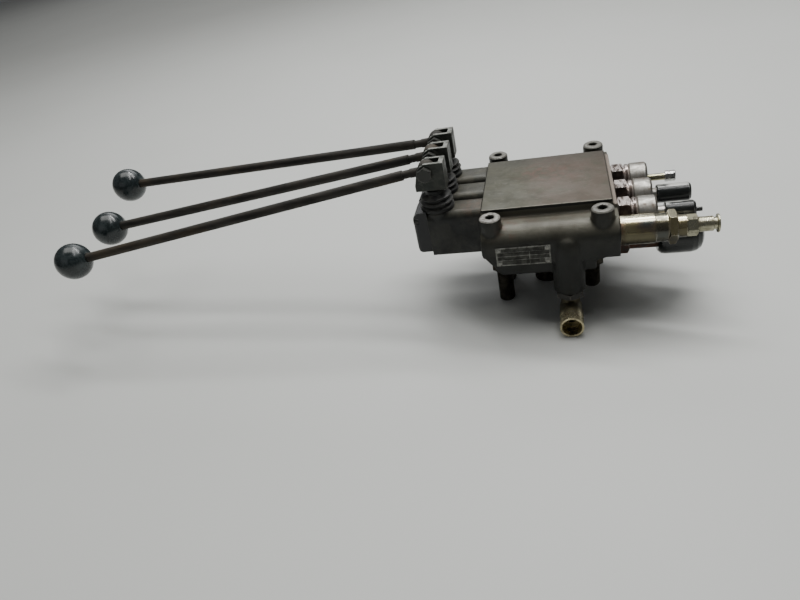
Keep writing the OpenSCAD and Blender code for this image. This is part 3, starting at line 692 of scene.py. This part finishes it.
def add_spring(node, axis, wire, turns, moving_end, materials):
    """A round-wire coil in place of a spring node, as long as the node along its axis."""
    low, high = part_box(node)
    low, high = np.array(low), np.array(high)
    across = (axis + 1) % 3
    mean_radius = (high[across] - low[across] - wire) / 2
    coil, faces = coil_mesh(high[axis] - low[axis], mean_radius, wire, turns)
    centre = (low + high) / 2
    centre[axis] = low[axis]
    vertices = coil if axis == 2 else coil[:, [2, 1, 0]] * (1, 1, -1)
    piece = new_piece(f"{node}_coil", vertices + centre, faces, materials["spring_steel"])
    fixed, moved = centre.copy(), centre.copy()
    fixed[axis], moved[axis] = (low[axis], high[axis]) if moving_end == "high" else (high[axis], low[axis])
    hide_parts(node)
    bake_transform(piece)


def add_springs(materials):
    """Centring springs, load-check springs and the relief spring."""
    x, z = 0, 2
    for i in SECTIONS:
        add_spring(f"centring_spring_{i}", x, 2.4 * MM, 5, "high", materials)
        add_spring(f"check_spring_{i}", z, 1.1 * MM, 4, "high", materials)
    add_spring("relief_spring", x, 2 * MM, 8, "low", materials)


def add_skins(materials):
    """Castings and forgings get soft edges; machined faces and holes stay crisp."""
    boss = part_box("valve_block")[1].z
    low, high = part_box("valve_block")
    left, right = low.x, high.x
    box_length, edge = 53 * MM, 0.4 * MM
    holes = [(x, y) for x in (-BOSS_X, BOSS_X) for y in (-BOSS_Y, BOSS_Y)]

    def block_machined(p):
        from_hole = np.minimum.reduce([np.hypot(p[:, 0] - x, p[:, 1] - y) for x, y in holes])
        end_face = (abs(p[:, 0] - right) < edge / 2) | (abs(p[:, 0] - left) < edge / 2)
        return ((p[:, 2] > boss - 1.6 * MM) | end_face | (from_hole < 5.2 * MM)).astype(float)

    def box_machined(p):
        return ((p[:, 0] > left - edge) | (p[:, 0] < left - box_length + edge)).astype(float)

    def nothing(p):
        return np.zeros(len(p))

    skin("valve_block", "block_casting", 0.85 * MM, 9, 0.45, block_machined, "valve", "cast_iron", materials)
    for i in SECTIONS:
        box, casting = f"lever_box_{i}", f"lever_box_casting_{i}"
        fork, forging = f"lever_fork_{i}", f"fork_forging_{i}"
        skin(box, casting, 0.7 * MM, 6, 0.5, box_machined, "valve", "lever_box_iron", materials)
        skin(fork, forging, 0.45 * MM, 4, 0.8, nothing, f"lever_{i}", "fork_steel", materials)


# Turning points of the boot's outside, from its lip to its neck: height and radius
BOOT_FOLDS = [(0, 16.0), (1.2, 16.8), (3.2, 16.8), (5.6, 14.0), (8.4, 16.6), (11.0, 13.4), (13.6, 15.4),
              (17.0, 9.6), (20.3, 9.4)]
BOOT_WALL = 1.6 * MM


def boot_radius(height):
    """Radius of the boot's outside at a height: smooth waves between the turning points."""
    for (z0, r0), (z1, r1) in zip(BOOT_FOLDS, BOOT_FOLDS[1:]):
        if height <= z1 * MM:
            t = (height / MM - z0) / (z1 - z0)
            return (r0 + (r1 - r0) * (0.5 - 0.5 * math.cos(math.pi * t))) * MM
    return BOOT_FOLDS[-1][1] * MM


def add_boot(i, materials):
    """Folded rubber boot of lever i, slightly creased."""
    low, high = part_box(f"bellows_{i}")
    centre = (low + high) / 2
    tall = 20.3 * MM
    sides, steps = 96, 70
    turn = np.arange(sides) * 2 * math.pi / sides
    heights = np.linspace(0, tall, steps)

    def crease_at(angle, height):
        return noise.noise(Vector((2.2 * math.cos(angle) + 5 * i, 2.2 * math.sin(angle), height * 260)))

    def ring(height, radius):
        crease = np.array([crease_at(a, height) for a in turn])
        r = radius + crease * 0.35 * MM - 0.3 * MM
        level = np.full(sides, low.z + height)
        return np.stack([centre.x + r * np.cos(turn), centre.y + r * np.sin(turn), level], 1)

    outside = [ring(h, boot_radius(h)) for h in heights]
    inside = [ring(h, boot_radius(h) - BOOT_WALL) for h in heights[::-1]]
    boot = new_piece(f"boot_{i}", *ring_mesh(outside + inside), materials["boot_rubber"])
    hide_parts(f"bellows_{i}")
    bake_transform(boot)


def hex_radius(turn, across):
    """Distance from the middle to the side of a hexagon, at each angle."""
    sector = (turn + math.pi / 6) % (math.pi / 3) - math.pi / 6
    return across / 2 / np.cos(sector)


def fitting_rings(x, y, top, bottom, across, outer, bore, pitch):
    """Port fitting: chamfered hexagon, threaded stub below and spigot above, bored through."""
    sides = 72
    turn = np.arange(sides) * 2 * math.pi / sides
    flat = np.ones(sides)
    corner = across / 2 / math.cos(math.pi / 6)
    inner = 0.47 * across
    chamfer = math.tan(math.radians(30))
    thread_top = top - 14 * MM
    hexagon_foot = top - 12 * MM
    spigot_top = top + 8 * MM
    neck = outer - 0.8 * MM
    spigot = outer - 0.1 * MM

    def ring(z, radius):
        return np.stack([x + radius * np.cos(turn), y + radius * np.sin(turn), np.full(sides, z)], 1)

    def nut(z, from_end):
        return ring(z, np.minimum(hex_radius(turn, across), inner + from_end / chamfer))

    def thread(z):
        fade = min(1.0, (z - bottom) / pitch, (thread_top - z) / pitch)
        wave = abs((z / pitch + turn / (2 * math.pi)) % 1 - 0.5) * 2
        return ring(z, outer - max(0.0, fade) * 0.55 * pitch * np.clip(wave * 1.3 - 0.1, 0, 1))

    bevel = (corner - inner) * chamfer
    count = int((thread_top - bottom) / pitch * 8)
    stub = [thread(z) for z in np.linspace(bottom + 1 * MM, thread_top, count)]
    rings = [ring(bottom, bore * flat), ring(bottom, (outer - 1 * MM) * flat)] + stub
    rings += [ring(thread_top + 0.1 * MM, neck * flat), ring(hexagon_foot, neck * flat)]
    rings += [nut(hexagon_foot, 0), nut(hexagon_foot + bevel, bevel), nut(top - bevel, bevel), nut(top, 0)]
    rings += [ring(top, spigot * flat), ring(spigot_top, spigot * flat), ring(spigot_top, bore * flat)]
    return rings


def add_fittings(materials):
    """Threaded stubs of the work ports and of the tank port."""
    pitch, spigot = 1.5 * MM, 8 * MM
    ports = (-SPOOL_PITCH, 0.0, SPOOL_PITCH)
    # Node, outside diameter, hexagon, bore radius (in mm), and the rows along Y
    fittings = (
        ("a_port_adaptors", 16, 22, 5.0, ports),
        ("b_port_adaptors", 16, 22, 5.0, ports),
        ("tank_adaptor", 27, 30, 8.5, (0.0,)),
    )
    for node, outer, hexagon, bore, rows in fittings:
        low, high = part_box(node)
        x = (low.x + high.x) / 2
        sizes = (hexagon * MM, outer / 2 * MM, bore * MM, pitch)
        vertices, faces = [], []
        for y in rows:
            v, f = ring_mesh(fitting_rings(x, y, high.z - spigot, low.z, *sizes))
            faces += [tuple(k + len(vertices) for k in face) for face in f]
            vertices += list(v)
        piece = new_piece(node.replace("adaptor", "fitting"), vertices, faces, materials["fitting_steel"])
        piece.data.set_sharp_from_angle(angle=math.radians(28))
        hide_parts(node)
        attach(piece, "valve")


def add_nameplate(materials):
    """Blank plate with a raised border and dividers round empty fields, a little buckled."""
    low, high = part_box("nameplate")
    across, up = 200, 80
    u = np.linspace(0, 1, across)
    v = np.linspace(0, 1, up)
    width, height = high.x - low.x, high.z - low.z
    lines, border, rivet_pad = 0.7 * MM, 1.4 * MM, 5.5 * MM
    dividers, column_at = [0.30, 0.52, 0.74], 0.62

    def raised(s, t):
        edge = min(s, 1 - s) * width < border or min(t, 1 - t) * height < border
        row = any(abs(t - d) * height < lines / 2 for d in dividers)
        column = abs(s - column_at) * width < lines / 2 and t < dividers[-1]
        rivet = min(s, 1 - s) * width < rivet_pad and min(t, 1 - t) * height < rivet_pad
        return edge or row or column or rivet

    front, back = [], []
    for t in v:
        for s in u:
            buckle = 0.12 * MM * (0.5 + 0.5 * noise.noise(Vector((s * 6, t * 3, 4.0))))
            depth = 0.0 if raised(s, t) else 0.28 * MM
            front.append((low.x + s * width, low.y + buckle + depth, low.z + t * height))
            back.append((low.x + s * width, high.y, low.z + t * height))
    faces = []
    shift = across * up
    for r in range(up - 1):
        for c in range(across - 1):
            k = r * across + c
            faces.append((k, k + 1, k + across + 1, k + across))
            faces.append((k + shift, k + across + shift, k + across + 1 + shift, k + 1 + shift))
    rim = list(range(across)) + [r * across + across - 1 for r in range(1, up)]
    rim += [(up - 1) * across + c for c in range(across - 2, -1, -1)]
    rim += [r * across for r in range(up - 2, 0, -1)]
    for a, b in zip(rim, rim[1:] + rim[:1]):
        faces.append((b, a, a + shift, b + shift))
    piece = new_piece("plate_blank", front + back, faces, materials["plate_metal"], smooth=False)
    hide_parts("nameplate")
    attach(piece, "valve")


# ---------------------------------------------------------------- build

add_camera()
add_lights()
add_floor()
finishes = make_materials()
dress_frame(finishes)
add_skins(finishes)
add_springs(finishes)
for section in SECTIONS:
    add_boot(section, finishes)
add_fittings(finishes)
add_nameplate(finishes)
